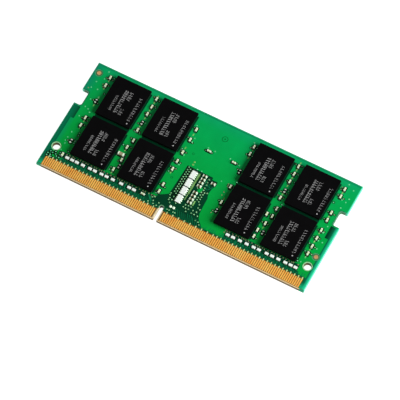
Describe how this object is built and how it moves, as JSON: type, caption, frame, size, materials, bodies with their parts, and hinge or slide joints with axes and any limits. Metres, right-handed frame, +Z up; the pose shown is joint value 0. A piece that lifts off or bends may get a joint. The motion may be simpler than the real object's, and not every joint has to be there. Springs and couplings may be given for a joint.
{
  "type": "memory module",
  "caption": "Flat green circuit board with black memory packages on both faces, gold edge contacts, an off-centre key slot, two latch notches and two small holes.",
  "frame": {"origin": "centre of the board's outline, at the outer faces of the lower memory packages, on which the module lies", "axes": "+X along the contact edge towards the long row of contacts, +Y from the contact edge to the far edge, +Z up out of the face with the resistor arrays"},
  "size_m": [0.0696, 0.03, 0.0034],
  "materials": {
    "laminate": "glass-epoxy, pale where cut",
    "copper_foil": "etched copper",
    "solder_mask": "glossy green film",
    "gold_plating": "thin gold over nickel",
    "ring_finish": "pale plated ring",
    "bare_copper": "bare copper with a clear preservative",
    "masked_copper": "copper under green film",
    "tinned_land": "tin-coated copper",
    "mould_compound": "black epoxy moulding, fine grain",
    "package_substrate": "dark green laminate",
    "silicon": "ground silicon",
    "solder": "satin solder",
    "capacitor_ceramic": "tan fired ceramic",
    "resistor_glaze": "black glaze",
    "white_ceramic": "white alumina",
    "tinned_terminal": "tin plating"
  },
  "bodies": {
    "root": {"board_core": "laminate", "upper_prepreg": "laminate", "lower_prepreg": "laminate", "ground_plane": "copper_foil", "power_plane": "copper_foil", "upper_copper": "copper_foil", "lower_copper": "copper_foil", "upper_solder_mask": "solder_mask", "lower_solder_mask": "solder_mask", "upper_short_contacts": "gold_plating", "upper_long_contacts": "gold_plating", "lower_short_contacts": "gold_plating", "lower_long_contacts": "gold_plating", "upper_hole_rings": "ring_finish", "lower_hole_rings": "ring_finish", "upper_fiducials": "bare_copper", "lower_fiducials": "bare_copper", "upper_via_pads": "masked_copper", "upper_solder_lands": "tinned_land", "lower_solder_lands": "tinned_land", "upper_memory_1": "mould_compound", "upper_memory_2": "mould_compound", "upper_memory_3": "mould_compound", "upper_memory_4": "mould_compound", "upper_memory_5": "mould_compound", "upper_memory_6": "mould_compound", "upper_memory_7": "mould_compound", "upper_memory_8": "mould_compound", "lower_memory_1": "mould_compound", "lower_memory_2": "mould_compound", "lower_memory_3": "mould_compound", "lower_memory_4": "mould_compound", "lower_memory_5": "mould_compound", "lower_memory_6": "mould_compound", "lower_memory_7": "mould_compound", "lower_memory_8": "mould_compound", "upper_memory_substrates": "package_substrate", "lower_memory_substrates": "package_substrate", "upper_memory_dies": "silicon", "lower_memory_dies": "silicon", "upper_solder_balls": "solder", "lower_solder_balls": "solder", "upper_capacitor_bodies": "silicon", "upper_capacitor_terminals": "tinned_terminal", "lower_capacitor_bodies": "silicon", "lower_capacitor_terminals": "tinned_terminal", "bulk_capacitor_body": "capacitor_ceramic", "bulk_capacitor_terminals": "tinned_terminal", "upper_calibration_resistors": "resistor_glaze", "upper_calibration_terminals": "tinned_terminal", "lower_calibration_resistors": "resistor_glaze", "lower_calibration_terminals": "tinned_terminal", "upper_resistor_pairs": "white_ceramic", "upper_resistor_pair_terminals": "tinned_terminal", "lower_resistor_pairs": "white_ceramic", "lower_resistor_pair_terminals": "tinned_terminal", "resistor_quads": "white_ceramic", "resistor_quad_terminals": "tinned_terminal", "spd_body": "mould_compound", "spd_pads": "tinned_terminal"}
  },
  "joints": []
}
